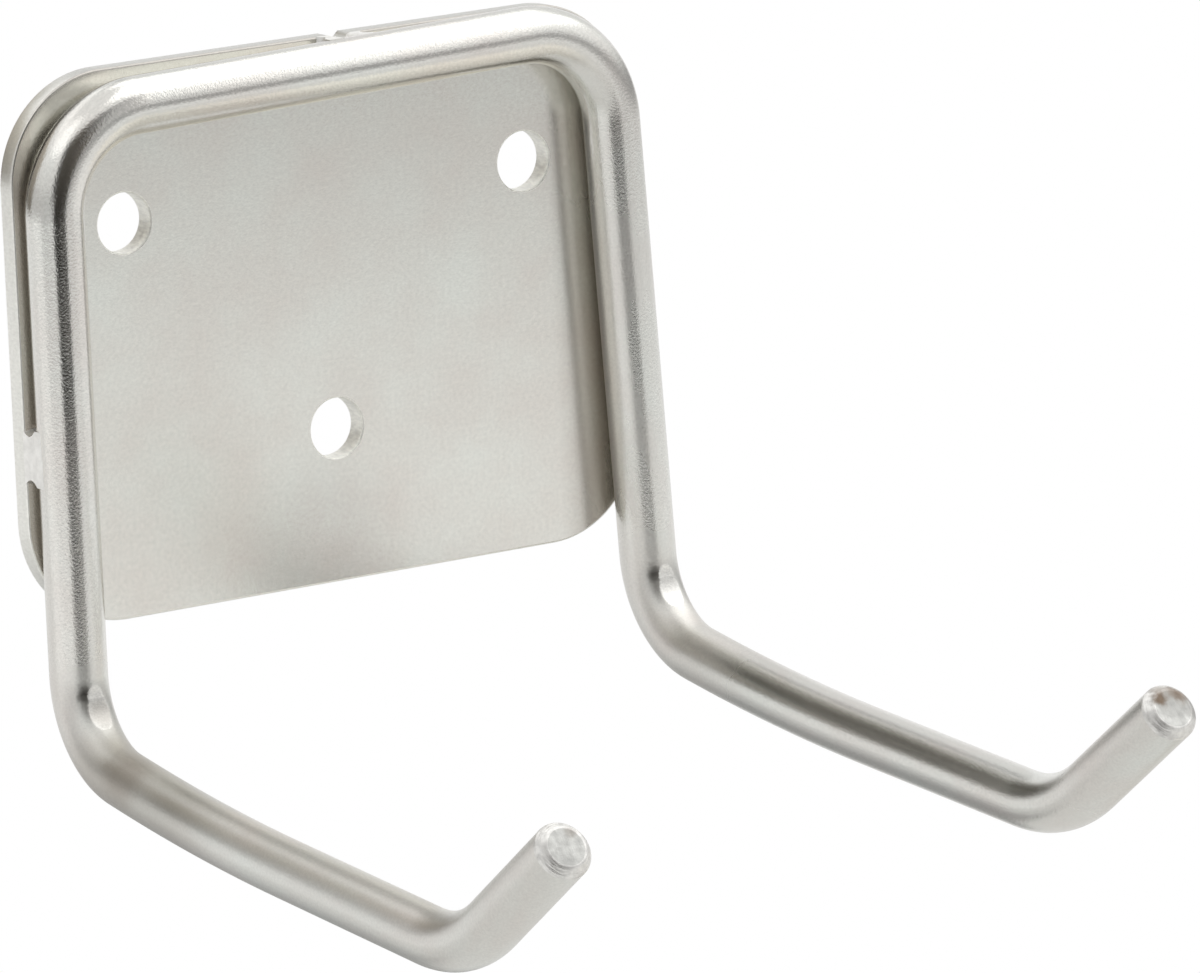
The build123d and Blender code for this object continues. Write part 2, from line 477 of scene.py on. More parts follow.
# Where across a bead's ground face its ends hollow in most, and how much of that is filled at the root
HOLLOW_MIDDLE = 0.32
ROOT_FILL = 0.6


def rod_axis_at(rod, side, along, place):
    """Point of the rod's axis beside a place: on its bar where side is 0, or on its left or right leg."""
    bar_middle, bar_corner, leg_corner = rod_corners(rod)[0][:3]
    ends = [bar_middle, bar_corner] if side == 0 else [bar_corner, leg_corner]
    flip = Matrix.Diagonal((side or 1, 1, 1))
    start, stop = (tilt_turn(rod) @ flip @ end for end in ends)
    share = (place - start).dot(along) / (stop - start).dot(along)
    return start + (stop - start) * share


def tangent_point(outside, centre, radius):
    """Where a line from a point outside a circle touches it, on the side that stands out further."""
    away = outside - centre
    half_angle = acos(radius / away.length)
    angles = [atan2(away.y, away.x) + turn for turn in (-half_angle, half_angle)]
    points = [centre + Vector((cos(angle), sin(angle))) * radius for angle in angles]
    return max(points, key=lambda point: point.x)


def build_weld(bm, rod, plate, node, side):
    """Fills the groove between plate and rod from a ground face that runs flush into both."""
    low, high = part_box(node)
    middle = (low + high) / 2
    forward = Vector((0, -1, 0))
    outward = Vector((side, 0, 0)) if side else Vector((0, 0, 1))
    along = Vector((0, 0, 1)) if side else Vector((1, 0, 0))
    edge_reach = PLATE_SIDE if side else PLATE_TOP
    half_length = (high - low).dot(along) / 2
    origin = along * middle.dot(along) + outward * edge_reach
    axis = rod_axis_at(rod, side, along, middle) - origin
    rod_middle = Vector((axis.dot(outward), axis.dot(forward)))
    plate_start = Vector((0, -PLATE_FRONT - plate.edge_break))
    rod_start = tangent_point(plate_start, rod_middle, rod.diameter / 2)
    plate_root = Vector((-plate.weld_root, -PLATE_FRONT))
    rod_root = Vector((-plate.weld_root, rod_start.y))
    bmesh.ops.create_cube(bm, size=1)
    bmesh.ops.subdivide_edges(bm, edges=bm.edges[:], cuts=WELD_CUTS, use_grid_fill=True)
    for vert in bm.verts:
        across, depth, length = (share + 0.5 for share in vert.co)
        face_point = plate_start.lerp(rod_start, across)
        root_point = plate_root.lerp(rod_root, across)
        point = face_point.lerp(root_point, depth)
        hollow = plate.weld_hollow * max(0, 1 - (across / HOLLOW_MIDDLE - 1) ** 2)
        reach = (half_length - hollow * (1 - ROOT_FILL * depth)) * (2 * length - 1)
        vert.co = origin + outward * point.x + forward * point.y + along * reach
    if side == 0:
        cut_nick(bm, plate)
    shade_smooth(bm, WELD_SHARP)


# Materials

# Colours of the stains and of the painted shade
BROWN = (0.20, 0.15, 0.11)
DULL_AND_SHADE = (0.36, 0.355, 0.34)
SMOKE = (0.34, 0.31, 0.27)
SOOT = (0.10, 0.09, 0.08)

# Shift of the red, green and blue of a steel in its pinkish and in its greenish blotches
PINKISH = (0.995, 0.96, 0.945)
GREENISH = (1.03, 1.055, 1.045)

# Darkest and lightest shade of a steel's colour
EDGE_SHADES = (1.02, 1.16)
END_SHADES = (0.8, 1.12)
MARK_SHADES = (0.95, 1.25)
BORE_SHADES = (1.05, 1.34)
WELD_SHADES = (0.92, 1.08)

# Changes of roughness
SATIN_CHANGE = 0.02
CUT_CHANGE = 0.05
TORN_CHANGE = 0.15
SAWN_CHANGE = 0.08

# Sizes of the grain, in metres
PIT_SIZE = 0.0003
SCRATCH_SIZE = 0.0004
SHEET_GRAIN = 0.0006
RIDGE_SIZE = 0.0002
LOW_SPOTS = 0.0012
BAR_CLOUDS = 0.007
END_CLOUDS = 0.0013
SHEET_CLOUDS = 0.014

# Strength of the dull specks on the bar and on the sheet
BAR_SPECKS = 0.2
SHEET_SPECKS = 0.16

# Depths of the relief, in metres
BAR_DEPTH = 0.00003
SHEET_DEPTH = 0.000009
EDGE_DEPTH = 0.00002
SCRATCH_DEPTH = 0.00002
CLOUD_DEPTH = 0.00006
RIDGE_DEPTH = 0.0001
MARK_DEPTH = 0.00004
TEAR_DEPTH = 0.00005
GRIND_DEPTH = 0.00001
LOW_DEPTH = 0.00004

# Size of the swirls in which the rims of the bar's smears and of its end stains wander, and their reach
SMEAR_WANDER = (0.0012, 0.001)
END_WANDER = (0.0009, 0.0014)

# Painted brown shade on the plate's front in the grooves behind the bar and the left leg, and in the right
# leg's
# shade: distances from the plate's edges where it starts and where it is full, and its strengths
GROOVE = (0.0042, 0.0032)
LEFT_GROOVE_SHADE = 0.4
TOP_GROOVE_SHADE = 0.27
SHADED = (0.0135, 0.0065)
RIGHT_LEG_SHADE = 0.44

# Painted shade on the plate's front behind the rod's upper left corner: its middle, radius and strength
CORNER_PAINTED_SHADE = ((-0.0456, PLATE_FRONT, 0.0336), 0.008, 0.3)

# Painted brown shade on the front rounding near the top: distances from the top and from the front, and its
# strength
ROUNDING_DROP = (0.015, 0.008)
ROUNDING_DEPTH = (0.0004, 0.0002)
ROUNDING_PAINTED_SHADE = 0.35

# Painted shade that darkens the plate's top edge: distances from the top, strength
TOP_SHADE_DROP = (0.002, 0.0003)
TOP_PAINTED_SHADE = 0.45

# Painted dark reflection of the rod's arms on the plate's front, above its bottom edge: its middle, radius
# and strength
PAINTED_REFLECTION_PATCH = ((-0.004, PLATE_FRONT, PLATE_BOTTOM + 0.007), 0.016, 0.18)

# Spots where the bar is rougher or smoother: place on the bar, radius and change of roughness
ROD_GLOSS = (
    ((0, 0, -0.01), 0.06, -0.09), ((0, 0, -0.065), 0.03, -0.05), ((0, 0, 0.085), 0.05, 0.06),
    ((0, -0.004, -0.121), 0.012, 0.13), ((0, -0.004, 0.121), 0.012, 0.13),
    ((0, -0.002, -0.136), 0.016, 0.16), ((0, -0.002, 0.136), 0.016, 0.16),
    ((0, -0.002, -0.238), 0.022, 0.12), ((0, -0.002, 0.238), 0.022, 0.12), ((0, 0, -0.184), 0.07, 0.1))

# Stains on the bar: place on the bar, radius, strength and colour
ROD_STAINS = (
    ((0, 0, -0.143), 0.024, 0.5, SMOKE), ((0, 0, 0.143), 0.024, 0.15, SMOKE),
    ((-0.003, -0.0025, -0.138), 0.006, 0.35, BROWN), ((-0.002, -0.003, -0.131), 0.009, 0.35, SMOKE),
    ((-0.0016, -0.0037, -0.1178), 0.0014, 0.6, SOOT), ((0.0016, -0.0037, 0.1178), 0.0014, 0.6, SOOT),
    ((-0.0017, -0.0036, -0.1188), 0.0014, 0.6, SOOT), ((0.0017, -0.0036, 0.1188), 0.0014, 0.6, SOOT))

# Painted shade line in the crease between the two marks in a lower bend: its place along the bar, width and
# strength
CREASE_PLACE = 0.1196
CREASE_WIDTH = 0.0006
CREASE_SHADE = 0.3

# Stain on the left bend's mark: its place on the bar, radius and strength
MARK_STAIN = ((0.0005, -0.004, -0.1225), 0.004, 0.5)

# Stains on the bar's ends: across, down, side of the hanger, radius, strength and colour
END_STAINS = (
    (0.0013, -0.0019, -1, 0.0013, 0.35, BROWN), (-0.0003, -0.0008, 1, 0.0034, 0.4, DULL_AND_SHADE),
    (0.0013, -0.0018, 1, 0.0017, 0.95, BROWN), (-0.0012, -0.0024, 1, 0.0018, 0.7, BROWN),
    (-0.0022, -0.0014, 1, 0.0018, 0.7, BROWN), (-0.0034, 0.0006, 1, 0.0024, 0.7, DULL_AND_SHADE),
    (0.0008, -0.0034, 1, 0.0016, 0.5, BROWN))

# Middle of a noise's range, and the share of its strength that each finer octave keeps
NOISE_MIDDLE = (0.3, 0.7)
NOISE_ROUGHNESS = 0.55

# Sockets by which the Mix node takes and gives colours
MIX_AMOUNT, MIX_FIRST, MIX_SECOND, MIX_RESULT = 0, 6, 7, 2


def new_node(tree, kind, inputs, **choices):
    """Adds a shader node with these choices, and links its inputs to sockets or sets their values."""
    node = tree.nodes.new(kind)
    for name, choice in choices.items():
        setattr(node, name, choice)
    for key, value in inputs.items():
        if isinstance(value, bpy.types.NodeSocket):
            tree.links.new(value, node.inputs[key])
        else:
            node.inputs[key].default_value = value
    return node


def steel_material(name, roughness):
    """Starts a steel of this mean roughness: returns its material and its node tree."""
    material = bpy.data.materials.new(name)
    material.use_nodes = True
    shader = material.node_tree.nodes["Principled BSDF"]
    shader.inputs["Metallic"].default_value = 1.0
    shader.inputs["Roughness"].default_value = roughness
    return material, material.node_tree


def finished(material, tint, gloss, *reliefs):
    """Gives a steel its colour, its roughness, and relief from pairs of height socket and depth."""
    tree = material.node_tree
    shader = tree.nodes["Principled BSDF"]
    tree.links.new(tint, shader.inputs["Base Color"])
    tree.links.new(gloss, shader.inputs["Roughness"])
    normal = None
    for height, depth in reliefs:
        bump = new_node(tree, "ShaderNodeBump", {"Strength": 1.0, "Distance": depth, "Height": height})
        if normal:
            tree.links.new(normal, bump.inputs["Normal"])
        normal = bump.outputs["Normal"]
    tree.links.new(normal, shader.inputs["Normal"])
    return material


def own_coordinates(tree, attribute=None):
    """Vector socket of the piece's own coordinates, or of one of its attributes."""
    if attribute is None:
        return tree.nodes.new("ShaderNodeTexCoord").outputs["Object"]
    return new_node(tree, "ShaderNodeAttribute", {}, attribute_name=attribute).outputs["Vector"]


def axes(tree, vector):
    """Sockets of a vector's X, Y and Z."""
    return new_node(tree, "ShaderNodeSeparateXYZ", {"Vector": vector}).outputs


def noise(tree, vector, size, stretch=(1, 1, 1), detail=3.0):
    """Height socket of a noise whose grains have this size, stretched along the axes."""
    scale = [1 / (size * factor) for factor in stretch]
    mapping = new_node(tree, "ShaderNodeMapping", {"Vector": vector, "Scale": scale})
    texture = new_node(tree, "ShaderNodeTexNoise", {
        "Vector": mapping.outputs["Vector"], "Scale": 1.0, "Detail": detail, "Roughness": NOISE_ROUGHNESS})
    return texture.outputs["Fac"]


def wandering(tree, vector, size, reach):
    """Vector socket whose places wander up to half this far, in swirls of this size."""
    swirls = new_node(tree, "ShaderNodeTexNoise", {"Vector": vector, "Scale": 1 / size})
    inputs = {0: swirls.outputs["Color"], 1: [reach] * 3, 2: [-reach / 2] * 3}
    sway = new_node(tree, "ShaderNodeVectorMath", inputs, operation="MULTIPLY_ADD")
    return new_node(tree, "ShaderNodeVectorMath", {0: vector, 1: sway.outputs["Vector"]}).outputs["Vector"]


def mapped(tree, value, start, stop, low, high, **choices):
    """Socket that runs from low to high while a value runs from start to stop."""
    inputs = {"Value": value, "From Min": start, "From Max": stop, "To Min": low, "To Max": high}
    return new_node(tree, "ShaderNodeMapRange", inputs, **choices).outputs["Result"]


def spread(tree, value, low, high):
    """Socket with the middle of a noise's range spread between two values."""
    return mapped(tree, value, *NOISE_MIDDLE, low, high)


def varied(tree, value, middle, change):
    """Socket that a noise varies to either side of a value, downwards where the noise is high."""
    return spread(tree, value, middle + change, middle - change)


def near_edge(tree, value, edge, reaches, strength):
    """Socket that grows from 0 to its full strength between two distances inwards of an edge."""
    start, stop = (edge - copysign(reach, edge) for reach in reaches)
    return mapped(tree, value, start, stop, 0, strength)


def near_spot(tree, vector, spot, radius, strength):
    """Socket that has its full strength in the middle of a spot and falls to 0 at its rim."""
    distance = new_node(tree, "ShaderNodeVectorMath", {0: vector, 1: spot}, operation="DISTANCE")
    value = distance.outputs["Value"]
    return mapped(tree, value, radius, radius / 4, 0, strength, interpolation_type="SMOOTHSTEP")


def calculated(tree, operation, *values):
    """Socket with the result of a Math node for these sockets or numbers."""
    return new_node(tree, "ShaderNodeMath", dict(enumerate(values)), operation=operation).outputs["Value"]


def combined(tree, operation, *values):
    """Socket with several values added up, or combined by another operation of the Math node."""
    return reduce(lambda total, value: calculated(tree, operation, total, value), values)


def mixed(tree, amount, first, second):
    """Colour socket that runs from a first colour to a second one."""
    inputs = {MIX_AMOUNT: amount, MIX_FIRST: first, MIX_SECOND: second}
    return new_node(tree, "ShaderNodeMix", inputs, data_type="RGBA").outputs[MIX_RESULT]


def stained(tree, colour, amount, stain_colour):
    """Colour socket with a stain laid over another colour."""
    return mixed(tree, amount, colour, (*stain_colour, 1))


def ramped(tree, value, places, colours):
    """Colour socket that runs through these colours while a value runs through these places."""
    ramp = new_node(tree, "ShaderNodeValToRGB", {"Fac": value})
    elements = ramp.color_ramp.elements
    while len(elements) < len(places):
        elements.new(1.0)
    for element, place, colour in zip(elements, places, colours):
        element.position = place
        element.color = (*colour, 1)
    return ramp.outputs["Color"]


def blotched(tree, value, colour):
    """Colour socket that runs from a pinkish to a greenish tint of a colour."""
    tints = [[channel * part for channel, part in zip(colour, shift)] for shift in (PINKISH, GREENISH)]
    return ramped(tree, value, NOISE_MIDDLE, tints)


def shaded(tree, value, colour, shades):
    """Colour socket that runs from the darker to the lighter of two shades of a colour."""
    tints = [[channel * factor for channel in colour] for factor in shades]
    return ramped(tree, value, NOISE_MIDDLE, tints)


def rod_material(steel):
    """Satin drawn bar: fine pits, slow changes of tint and gloss, and smears at its bends."""
    material, tree = steel_material("satin_bar", steel.rod_roughness)
    bar = own_coordinates(tree, "bar_grain")
    clouds = noise(tree, bar, BAR_CLOUDS, (1, 1, 2.5))
    tint = blotched(tree, clouds, steel.rod_colour)
    tint = stained(tree, tint, spread(tree, noise(tree, bar, SCRATCH_SIZE), BAR_SPECKS, 0), DULL_AND_SHADE)
    ragged = wandering(tree, bar, *SMEAR_WANDER)
    for *spot, colour in ROD_STAINS:
        tint = stained(tree, tint, near_spot(tree, ragged, *spot), colour)
    gloss = combined(
        tree, "ADD", varied(tree, clouds, steel.rod_roughness, SATIN_CHANGE),
        *[near_spot(tree, bar, *spot) for spot in ROD_GLOSS])
    return finished(material, tint, gloss, (noise(tree, bar, PIT_SIZE), BAR_DEPTH))


def end_material(steel, name, base_colour, end):
    """Finish of the bar's ends, this far along the bar: dull, scratched, ridged and stained in places."""
    material, tree = steel_material(name, steel.end_roughness)
    bar = own_coordinates(tree, "bar_grain")
    scratches = noise(tree, bar, SCRATCH_SIZE, (1, 5, 1))
    clouds = noise(tree, bar, END_CLOUDS)
    ridges = noise(tree, bar, RIDGE_SIZE, (12, 12, 1), 1.0)
    tint = shaded(tree, clouds, base_colour, END_SHADES)
    ragged = wandering(tree, bar, *END_WANDER)
    for x, y, side, radius, strength, stain_colour in END_STAINS:
        spot = near_spot(tree, ragged, (x, y, side * end), radius, strength)
        tint = stained(tree, tint, spot, stain_colour)
    gloss = varied(tree, scratches, steel.end_roughness, -SAWN_CHANGE)
    return finished(
        material, tint, gloss, (scratches, SCRATCH_DEPTH), (clouds, CLOUD_DEPTH), (ridges, RIDGE_DEPTH))


def pressed_material(steel):
    """Skin that a pin rubbed: paler and duller than the bar, pitted, smoky on the left, with a painted
    shade line in its crease.
    """
    material, tree = steel_material("rubbed_mark", steel.end_roughness)
    bar = own_coordinates(tree, "bar_grain")
    pits = noise(tree, bar, SCRATCH_SIZE)
    tint = shaded(tree, pits, steel.rod_colour, MARK_SHADES)
    ragged = wandering(tree, bar, *SMEAR_WANDER)
    tint = stained(tree, tint, near_spot(tree, ragged, *MARK_STAIN), SMOKE)
    # Painted shade line along the crease between the pin's mark and the nip's
    along = calculated(tree, "ABSOLUTE", axes(tree, bar)["Z"])
    crease = calculated(tree, "COMPARE", along, CREASE_PLACE, CREASE_WIDTH / 2)
    tint = stained(tree, tint, calculated(tree, "MULTIPLY", crease, CREASE_SHADE), DULL_AND_SHADE)
    gloss = spread(tree, pits, steel.cut_roughness, steel.end_roughness)
    return finished(material, tint, gloss, (pits, MARK_DEPTH))


def plate_material(steel):
    """Satin sheet: very fine grain, a faint mottle, painted shade behind the rod and a painted dark
    reflection.
    """
    material, tree = steel_material("satin_sheet", steel.plate_roughness)
    place = own_coordinates(tree)
    x, y, z = axes(tree, place)
    mottle = noise(tree, place, SHEET_CLOUDS, detail=6.0)
    tint = blotched(tree, mottle, steel.plate_colour)
    tint = stained(tree, tint, spread(tree, noise(tree, place, SHEET_GRAIN), SHEET_SPECKS, 0), DULL_AND_SHADE)
    # Painted shade: brown darkening of the front in the grooves behind the rod, beside the right leg and
    # behind its corner
    painted_shade = combined(
        tree, "MAXIMUM", near_edge(tree, x, -PLATE_SIDE, GROOVE, LEFT_GROOVE_SHADE),
        near_edge(tree, x, PLATE_SIDE, SHADED, RIGHT_LEG_SHADE),
        near_edge(tree, z, PLATE_TOP, GROOVE, TOP_GROOVE_SHADE), near_spot(tree, place, *CORNER_PAINTED_SHADE))
    # Painted dark reflection of the rod's arms, above the plate's bottom edge
    painted_reflection = near_spot(tree, place, *PAINTED_REFLECTION_PATCH)
    front = mapped(tree, y, PLATE_FRONT / 3, PLATE_FRONT * 2 / 3, 0, 1)
    for amount, colour in ((painted_shade, BROWN), (painted_reflection, DULL_AND_SHADE)):
        tint = stained(tree, tint, calculated(tree, "MULTIPLY", amount, front), colour)
    gloss = varied(tree, mottle, steel.plate_roughness, SATIN_CHANGE)
    return finished(material, tint, gloss, (noise(tree, place, PIT_SIZE), SHEET_DEPTH))


def edge_material(steel):
    """Sheared edge: finely grained, with painted shade along the top and on its upper front rounding."""
    material, tree = steel_material("sheared_edge", steel.cut_roughness)
    place = own_coordinates(tree)
    _, y, z = axes(tree, place)
    lines = noise(tree, place, SCRATCH_SIZE, (1, 2, 1))
    tint = shaded(tree, lines, steel.plate_colour, EDGE_SHADES)
    # Painted shade along the plate's top edge
    tint = stained(tree, tint, near_edge(tree, z, PLATE_TOP, TOP_SHADE_DROP, TOP_PAINTED_SHADE), DULL_AND_SHADE)
    # Painted brown shade on the front rounding near the top
    upper = near_edge(tree, z, PLATE_TOP, ROUNDING_DROP, ROUNDING_PAINTED_SHADE)
    rounding = near_edge(tree, y, PLATE_FRONT, ROUNDING_DEPTH, 1)
    tint = stained(tree, tint, calculated(tree, "MULTIPLY", upper, rounding), BROWN)
    gloss = varied(tree, lines, steel.cut_roughness, CUT_CHANGE)
    return finished(material, tint, gloss, (lines, EDGE_DEPTH))


def bore_material(steel):
    """Wall of a punched hole: bright and torn."""
    material, tree = steel_material("punched_wall", steel.end_roughness)
    tears = noise(tree, own_coordinates(tree), SCRATCH_SIZE, (1, 3, 1))
    tint = shaded(tree, tears, steel.plate_colour, BORE_SHADES)
    gloss = spread(tree, tears, steel.end_roughness, steel.end_roughness + TORN_CHANGE)
    return finished(material, tint, gloss, (tears, TEAR_DEPTH))


def weld_material(steel):
    """Ground weld metal: fine marks from the grinder and a few low spots."""
    material, tree = steel_material("ground_weld", steel.weld_roughness)
    place = own_coordinates(tree)
    lines = noise(tree, place, SCRATCH_SIZE, (1, 2, 1))
    spots = noise(tree, place, LOW_SPOTS)
    tint = shaded(tree, spots, steel.weld_colour, WELD_SHADES)
    gloss = varied(tree, spots, steel.weld_roughness, CUT_CHANGE)
    return finished(material, tint, gloss, (lines, GRIND_DEPTH), (spots, LOW_DEPTH))


# Stage

# Sides of the round floor and wall, and roughness of the floor
ROUND_SIDES = 128
FLOOR_ROUGHNESS = 0.9

# Overhead soft box: its place, the point that it faces and its width
BOX_PLACE = Vector((0.5, -0.2, 0.8))
BOX_AIM = Vector((0.0, -0.05, 0.0))
BOX_WIDTH = 0.8

# Brightness of the studio's wall at the left and at the right, by degrees of elevation, and where the one
# starts to give way to the other and where it has, as shares of the wall's radius
LEFT_LEVELS = ((-10, 1.1), (-5, 0.77), (0, 0.64), (8, 0.62), (18, 0.83), (35, 0.97))
RIGHT_LEVELS = ((-10, 1.0), (-4, 0.6), (0, 0.28), (3, 0.3), (8, 0.68), (14, 1.0), (24, 1.1), (35, 1.25))
WALL_FADE = (-0.2, 0.6)

# Cards round the hanger: azimuths, elevations, distance, brightness or that at bottom and top, any tint
NEUTRAL = (1.0, 1.0, 1.0)
WARM = (1.0, 0.92, 0.80)
PALE_WARM = (1.0, 0.97, 0.90)
CARDS = {
    "front_flag": ((-40, -8), (-16, 46), 0.7, (0.0, 0.13), WARM),
    "front_low": ((-8.5, 9.5), (-16, 22), 0.95, (0.0, 0.15), WARM),
    "front_mid": ((-8, 8), (22, 48), 0.7, (0.2, 0.32)),
    "front_shade": ((8, 30), (10, 47), 0.75, (0.6,)),
    "flag_side": ((-48, -39), (5, 42), 0.7, (0.1,)),
    "right_wing": ((8, 46), (-10, 3), 0.6, (0.78, 0.34)),
    "left_wing": ((-85, -40), (-11, 4), 0.6, (0.64,)),
    "back_flag": ((-185, -125), (0, 36), 0.26, (0.17, 0.55), WARM),
    "back_low": ((-215, -120), (-25, -6), 0.27, (0.88, 1.02)),
    "back_edge": ((118, 162), (-7, 10), 0.9, (1.04,)),
    "back_top": ((-195, -95), (46, 62), 0.3, (1.3,)),
    "corner_card": ((-98, -58), (38, 62), 0.25, (1.5,)),
    "back_wing": ((105, 150), (9, 42), 0.8, (0.88,)),
    "back_shade": ((144, 158), (22, 46), 0.9, (0.72,)),
    "back_dark": ((158, 188), (30, 54), 0.9, (0.42,)),
    "under_flag": ((145, 215), (-62, -24), 0.3, (0.3, 0.86)),
    "wall_flag": ((145, 188), (-64, -42), 0.26, (0.33, 0.4)),
    "bar_floor": ((25, 82), (-58, -25), 0.3, (0.6, 1.16), PALE_WARM),
    "left_low": ((-120, -40), (-24, -10), 0.75, (1.18,)),
    "right_low": ((46, 110), (-24, -9), 0.75, (1.05,)),
    "bar_card": ((26, 37.5), (5, 34), 0.9, (0.7, 2.1)),
    "bar_shade": ((37.5, 43), (9, 22), 0.9, (0.6, 0.75)),
    "top_front": ((31, 85), (33, 70), 0.9, (1.75,)),
    "top_back": ((85, 155), (46, 70), 0.9, (1.7,)),
}


def stage_object(name, bm):
    """Links a finished bmesh that belongs to the stage as an object of the scene."""
    thing = linked_object(name, bm)
    return thing


def reflected_glow(thing):
    """Gives a thing a glow that only the steel mirrors; returns the glow's node tree and shader."""
    thing.visible_camera = False
    thing.visible_diffuse = False
    thing.visible_shadow = False
    material = bpy.data.materials.new(thing.name)
    material.use_nodes = True
    tree = material.node_tree
    glow = tree.nodes.new("ShaderNodeEmission")
    tree.links.new(glow.outputs["Emission"], tree.nodes["Material Output"].inputs["Surface"])
    thing.data.materials.append(material)
    return tree, glow


def way_to(azimuth, elevation):
    """Direction that lies this far round to the right from straight ahead, and this far up from level."""
    flat = cos(elevation)
    return Vector((sin(azimuth) * flat, -cos(azimuth) * flat, sin(elevation)))


def studio_world():
    """Plain white all round."""
    world = bpy.data.worlds.new("studio")
    bpy.context.scene.world = world
    world.use_nodes = True
    world.node_tree.nodes["Background"].inputs["Color"].default_value = (1, 1, 1, 1)


def studio_floor(studio):
    """Round pale floor below the hanger."""
    bm = bmesh.new()
    bmesh.ops.create_circle(
        bm, cap_ends=True, segments=ROUND_SIDES, radius=studio.floor_radius,
        matrix=Matrix.Translation((0, 0, -studio.floor_drop)))
    floor = stage_object("floor", bm)
    material = bpy.data.materials.new("pale_floor")
    material.use_nodes = True
    shader = material.node_tree.nodes["Principled BSDF"]
    shader.inputs["Base Color"].default_value = (*studio.floor_colour, 1)
    shader.inputs["Roughness"].default_value = FLOOR_ROUGHNESS
    floor.data.materials.append(material)


def wall_levels(tree, height, levels):
    """Colour socket with the wall's brightness at these degrees of elevation."""
    rises = [tan(radians(degrees)) for degrees, _ in levels]
    places = [(rise - rises[0]) / (rises[-1] - rises[0]) for rise in rises]
    return ramped(tree, height, places, [[level] * 3 for _, level in levels])


def studio_wall(studio):
    """Round wall behind the floor's rim, darker at its right, that the steel mirrors near the horizon."""
    low, high = (studio.wall_radius * tan(radians(LEFT_LEVELS[place][0])) for place in (0, -1))
    bm = bmesh.new()
    bmesh.ops.create_circle(
        bm, segments=ROUND_SIDES, radius=studio.wall_radius, matrix=Matrix.Translation((0, 0, low)))
    verts, _ = extrude_ring(bm, bm.edges[:])
    bmesh.ops.translate(bm, verts=verts, vec=(0, 0, high - low))
    wall = stage_object("wall", bm)
    tree, glow = reflected_glow(wall)
    x, _, z = axes(tree, own_coordinates(tree))
    height = mapped(tree, z, low, high, 0, 1)
    side = mapped(tree, x, *[share * studio.wall_radius for share in WALL_FADE], 0, 1)
    left, right = (wall_levels(tree, height, levels) for levels in (LEFT_LEVELS, RIGHT_LEVELS))
    tree.links.new(mixed(tree, side, left, right), glow.inputs["Color"])


def soft_box(studio):
    """Large square lamp overhead that faces the hanger."""
    data = bpy.data.lights.new("overhead", "AREA")
    data.shape = "SQUARE"
    data.size = BOX_WIDTH
    data.energy = studio.box_radiance * pi * BOX_WIDTH ** 2
    lamp = bpy.data.objects.new("overhead", data)
    lamp.location = BOX_PLACE
    lamp.rotation_euler = (BOX_PLACE - BOX_AIM).to_track_quat("Z", "Y").to_euler()
    lamp.visible_camera = False
    bpy.context.scene.collection.objects.link(lamp)


def studio_card(name, azimuths, elevations, distance, levels, tint=NEUTRAL):
    """Card between these degrees of azimuth and elevation that only the steel sees, in its reflections."""
    azimuth, elevation = (radians(sum(span) / 2) for span in (azimuths, elevations))
    width, height = (
        2 * distance * tan(radians(span[1] - span[0]) / 2) for span in (azimuths, elevations))
    middle = way_to(azimuth, elevation) * distance
    facing = middle.to_track_quat("Z", "Y").to_matrix().to_4x4()
    scale = Matrix.Diagonal((width * cos(elevation), height, 1, 1))
    bm = bmesh.new()
    bmesh.ops.create_grid(
        bm, x_segments=1, y_segments=1, size=0.5, matrix=Matrix.Translation(middle) @ facing @ scale)
    heights = sorted(vert.co.z for vert in bm.verts)
    card = stage_object(name, bm)
    tree, glow = reflected_glow(card)
    glow.inputs["Color"].default_value = (*tint, 1)
    glow.inputs["Strength"].default_value = levels[0]
    if len(levels) > 1:
        z = axes(tree, own_coordinates(tree))["Z"]
        tree.links.new(mapped(tree, z, heights[0], heights[-1], *levels), glow.inputs["Strength"])


def studio_camera(studio):
    """Long lens at the picture's viewing angle."""
    data = bpy.data.cameras.new("camera")
    data.lens = studio.lens
    data.sensor_width = studio.sensor
    data.sensor_fit = "HORIZONTAL"
    camera = bpy.data.objects.new("camera", data)
    back = way_to(studio.azimuth, studio.elevation)
    turn = back.to_track_quat("Z", "Y").to_matrix().to_4x4() @ Matrix.Rotation(-studio.roll, 4, "Z")
    camera.matrix_world = Matrix.Translation(Vector(studio.aim) + back * studio.distance) @ turn
    bpy.context.scene.collection.objects.link(camera)
    bpy.context.scene.camera = camera


# Operators

class HANGER_OT_rod(Operator):
    """Bend the rod with its bar, legs, arms and tips"""
    bl_idname = "hanger.rod"
    bl_label = "Bent rod"

    def execute(self, context):
        scene = context.scene
        steel = scene.hanger_steel
        rod = new_piece("bent_rod", build_rod, scene.hanger_rod)
        end = max(abs(place.vector.z) for place in rod.data.attributes["bar_grain"].data)
        rod.data.materials.append(rod_material(steel))
        rod.data.materials.append(end_material(steel, "sawn_end", steel.end_colour, end))
        rod.data.materials.append(pressed_material(steel))
        rod.data.materials.append(end_material(steel, "filed_bevel", steel.bevel_colour, end))
        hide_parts("hanger_rod")
        return {"FINISHED"}


class HANGER_OT_plate(Operator):
    """Make the rounded plate with its screw holes"""
    bl_idname = "hanger.plate"
    bl_label = "Wall plate"

    def execute(self, context):
        scene = context.scene
        steel = scene.hanger_steel
        plate = new_piece("wall_plate", build_plate, scene.hanger_plate)
        plate.data.materials.append(plate_material(steel))
        plate.data.materials.append(edge_material(steel))
        plate.data.materials.append(bore_material(steel))
        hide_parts("back_plate")
        return {"FINISHED"}


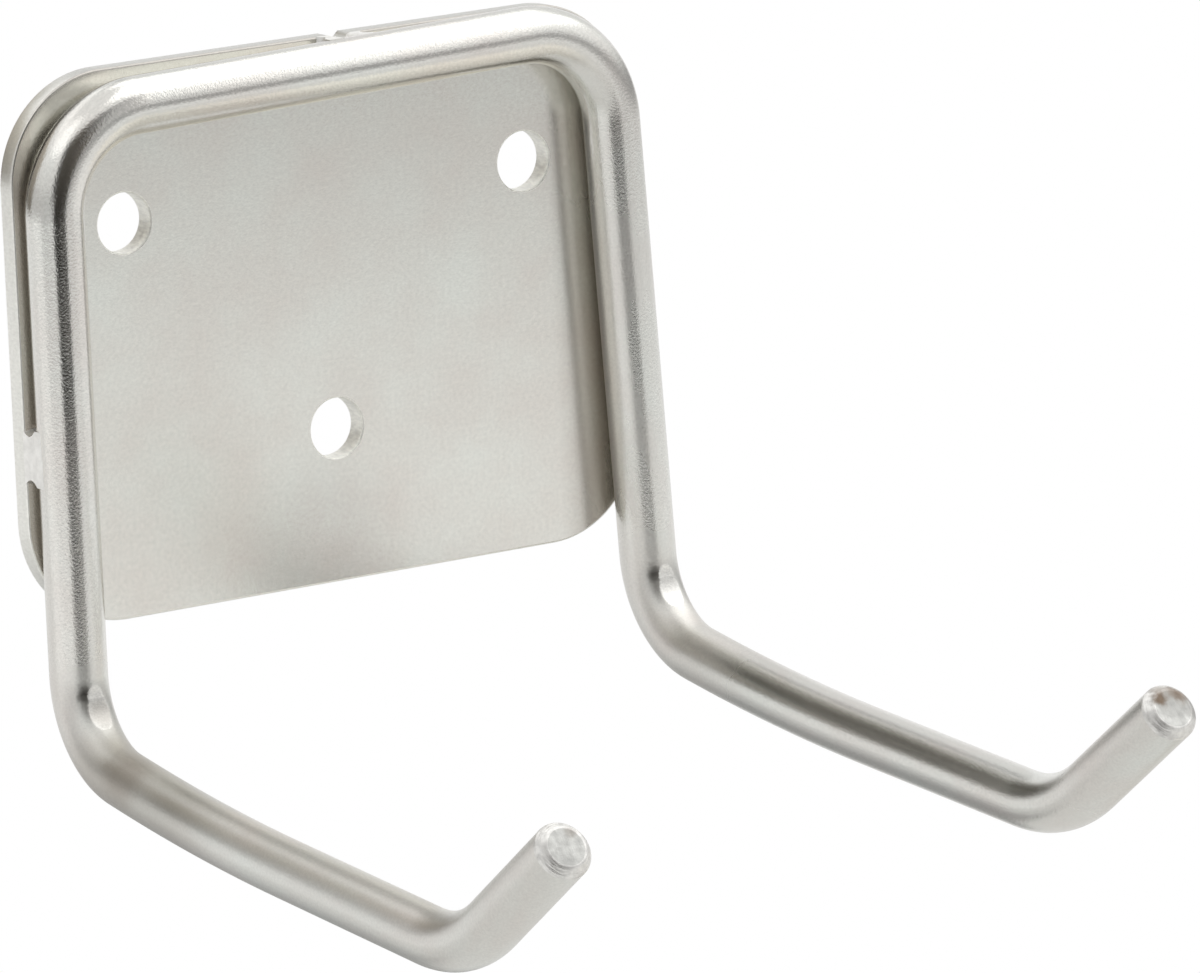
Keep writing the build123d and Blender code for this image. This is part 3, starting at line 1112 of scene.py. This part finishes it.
class HANGER_OT_welds(Operator):
    """Fill the three grooves between plate and rod with ground welds"""
    bl_idname = "hanger.welds"
    bl_label = "Ground welds"

    def execute(self, context):
        scene = context.scene
        material = weld_material(scene.hanger_steel)
        for node, side in (("weld_top", 0), ("weld_left", -1), ("weld_right", 1)):
            weld = new_piece(f"ground_{node}", build_weld, scene.hanger_rod, scene.hanger_plate, node, side)
            weld.data.materials.append(material)
            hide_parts(node)
        return {"FINISHED"}


class HANGER_OT_stage(Operator):
    """Set up the floor, the light and the camera"""
    bl_idname = "hanger.stage"
    bl_label = "Studio stage"

    def execute(self, context):
        studio = context.scene.hanger_studio
        context.scene.view_settings.view_transform = "Standard"
        studio_world()
        studio_floor(studio)
        studio_wall(studio)
        soft_box(studio)
        for name, card in CARDS.items():
            studio_card(name, *card)
        studio_camera(studio)
        return {"FINISHED"}


class HANGER_PT_panel(Panel):
    """Lists the hanger's pieces and its stage"""
    bl_idname = "HANGER_PT_panel"
    bl_label = "Blender wall hanger"
    bl_space_type = "VIEW_3D"
    bl_region_type = "UI"
    bl_category = "Hanger"

    def draw(self, context):
        for operator in OPERATORS:
            self.layout.operator(operator.bl_idname)


OPERATORS = (HANGER_OT_rod, HANGER_OT_plate, HANGER_OT_welds, HANGER_OT_stage)
SETTINGS = {
    "hanger_rod": HangerRodSettings,
    "hanger_plate": WallPlateSettings,
    "hanger_steel": SteelSettings,
    "hanger_studio": StudioSettings,
}


def register():
    for settings in SETTINGS.values():
        bpy.utils.register_class(settings)
    for name, settings in SETTINGS.items():
        setattr(bpy.types.Scene, name, PointerProperty(type=settings))
    for operator in OPERATORS:
        bpy.utils.register_class(operator)
    bpy.utils.register_class(HANGER_PT_panel)


def unregister():
    bpy.utils.unregister_class(HANGER_PT_panel)
    for operator in reversed(OPERATORS):
        bpy.utils.unregister_class(operator)
    for name, settings in reversed(SETTINGS.items()):
        delattr(bpy.types.Scene, name)
        bpy.utils.unregister_class(settings)


def main():
    register()
    bpy.ops.hanger.rod()
    bpy.ops.hanger.plate()
    bpy.ops.hanger.welds()
    bpy.ops.hanger.stage()


if __name__ == "__main__":
    main()
